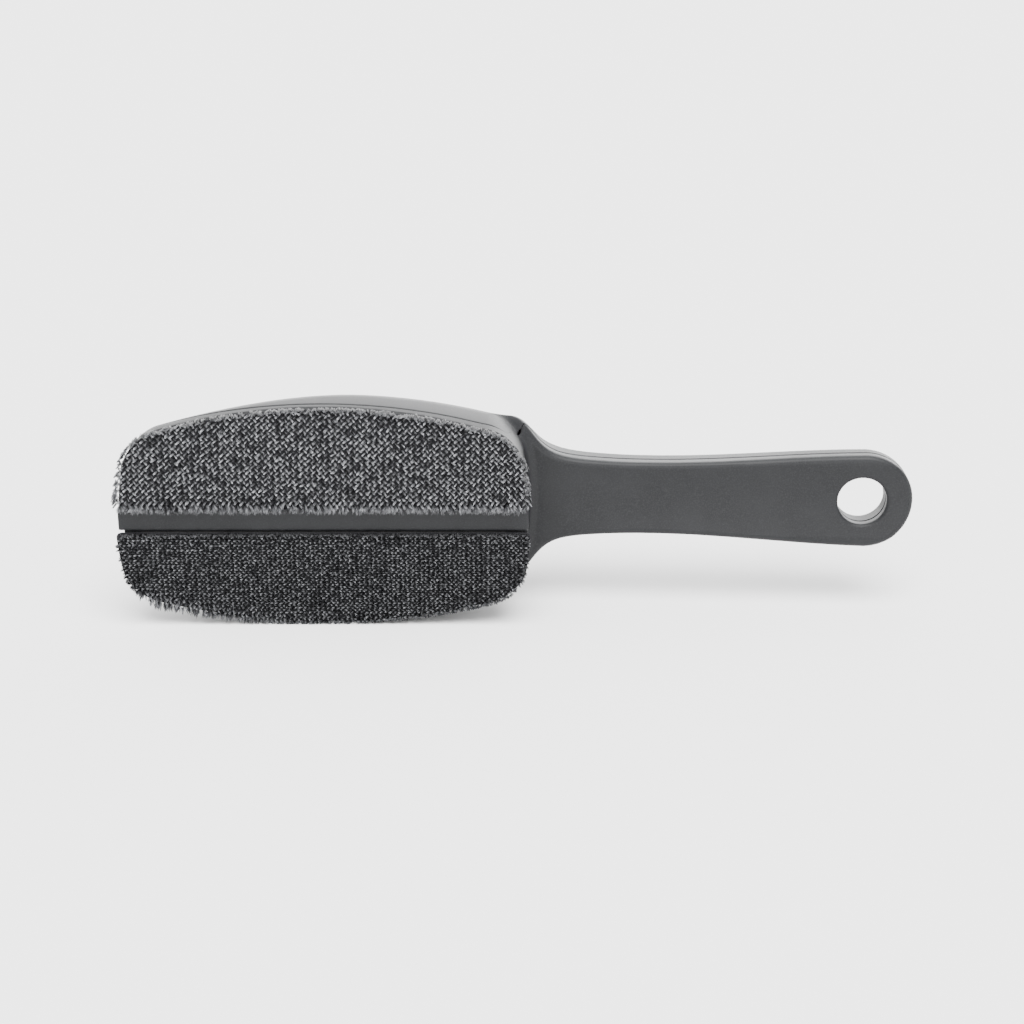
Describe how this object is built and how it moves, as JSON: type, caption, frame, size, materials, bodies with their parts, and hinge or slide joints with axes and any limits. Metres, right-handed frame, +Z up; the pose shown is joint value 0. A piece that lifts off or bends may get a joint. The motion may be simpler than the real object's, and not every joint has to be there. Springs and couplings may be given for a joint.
{
  "type": "clothes brush",
  "caption": "Hand-held clothes brush: domed head with a pile pad above and below a plain band, set-back flat handle and a round hanging hole.",
  "frame": {"origin": "middle of the foot of the bounding box, on the surface that the lower long edge of the head stands on", "axes": "+X along the brush from the head to the end of the handle, +Y from the pads to the domed back, +Z up across the head"},
  "size_m": [0.252, 0.0352, 0.0723],
  "materials": {
    "shell_plastic": "fine satin moulded plastic, dark cool grey",
    "pile_fibre": "stiff glossy monofilament pile, all leaning one way",
    "backing_cloth": "woven ground cloth, matt",
    "adhesive_film": "dark pressure-sensitive adhesive film"
  },
  "bodies": {
    "root": {"front_shell": "shell_plastic", "back_shell": "shell_plastic", "upper_pile": "pile_fibre", "lower_pile": "pile_fibre", "upper_backing": "backing_cloth", "lower_backing": "backing_cloth", "upper_adhesive": "adhesive_film", "lower_adhesive": "adhesive_film"}
  },
  "joints": []
}
